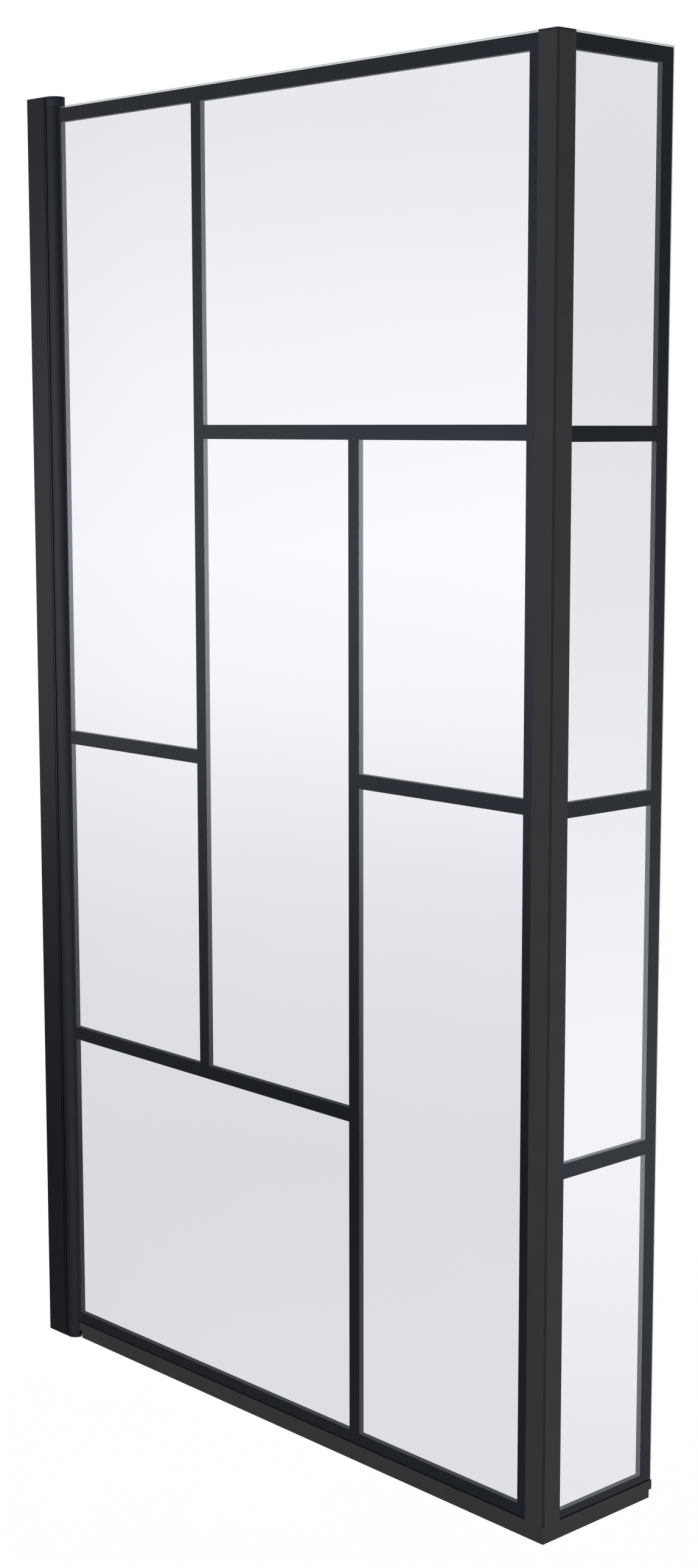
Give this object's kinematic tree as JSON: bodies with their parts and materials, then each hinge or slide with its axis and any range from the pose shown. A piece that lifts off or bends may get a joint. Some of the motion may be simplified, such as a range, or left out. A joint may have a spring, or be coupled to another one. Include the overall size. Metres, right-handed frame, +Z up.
{
  "type": "hinged bath screen",
  "caption": "Black-framed clear glass bath screen with a grid of strips, hinged on a wall profile, with a short return panel behind a square corner post and a bottom rail",
  "frame": {"origin": "foot of the wall profile, on the wall face, in the plane of the hinge axis", "axes": "+X from the wall along the bath, +Y into the bath, +Z up"},
  "size_m": [0.8105, 0.1695, 1.45],
  "materials": {
    "black_frame": "matt black powder coat on aluminium",
    "corner_coat": "matt black powder coat, a little rougher and paler",
    "black_cap": "fine-textured black moulding",
    "grid_strip": "matt black flat strip",
    "clear_glass": "clear toughened glass",
    "seal": "black rubber",
    "bearing_plastic": "dark acetal",
    "steel": "stainless steel"
  },
  "bodies": {
    "wall_side": {"wall_profile": "black_frame", "jamb_profile": "black_frame", "socket_liners": "bearing_plastic", "top_pivot_cap": "black_cap", "bottom_pivot_cap": "black_cap", "pivot_pins": "steel", "cap_screws": "steel", "clamp_screws": "steel", "clamp_screw_covers": "black_cap"},
    "screen": {"barrel_head": "black_cap", "barrel_plug": "bearing_plastic", "corner_key": "bearing_plastic", "corner_post": "corner_coat", "corner_post_cap": "black_cap", "front_glass": "clear_glass", "front_inside_left_bar": "grid_strip", "front_inside_left_upright": "grid_strip", "front_inside_lower_bar": "grid_strip", "front_inside_post_band": "grid_strip", "front_inside_right_bar": "grid_strip", "front_inside_right_upright": "grid_strip", "front_inside_sill_bar": "grid_strip", "front_inside_top_bar": "grid_strip", "front_inside_upper_bar": "grid_strip", "front_outside_left_bar": "grid_strip", "front_outside_left_upright": "grid_strip", "front_outside_lower_bar": "grid_strip", "front_outside_post_band": "grid_strip", "front_outside_right_bar": "grid_strip", "front_outside_right_upright": "grid_strip", "front_outside_sill_bar": "grid_strip", "front_outside_top_bar": "grid_strip", "front_outside_upper_bar": "grid_strip", "front_rail": "corner_coat", "front_seal": "seal", "glass_gasket": "seal", "hinge_barrel": "black_frame", "hinge_washers": "bearing_plastic", "key_screws": "steel", "return_glass": "clear_glass", "return_inside_bar_1": "grid_strip", "return_inside_bar_2": "grid_strip", "return_inside_bar_3": "grid_strip", "return_inside_bar_4": "grid_strip", "return_inside_bar_5": "grid_strip", "return_inside_edge_band": "grid_strip", "return_outside_bar_1": "grid_strip", "return_outside_bar_2": "grid_strip", "return_outside_bar_3": "grid_strip", "return_outside_bar_4": "grid_strip", "return_outside_bar_5": "grid_strip", "return_outside_edge_band": "grid_strip", "return_rail": "corner_coat", "return_seal": "seal", "setting_blocks": "bearing_plastic"}
  },
  "joints": [
    {"name": "screen_swing", "type": "hinge", "parent": "wall_side", "child": "screen", "pos_m": [0.0386, 0, 0.725], "axis": [0, 0, 1], "range_deg": [-90, 80]}
  ]
}
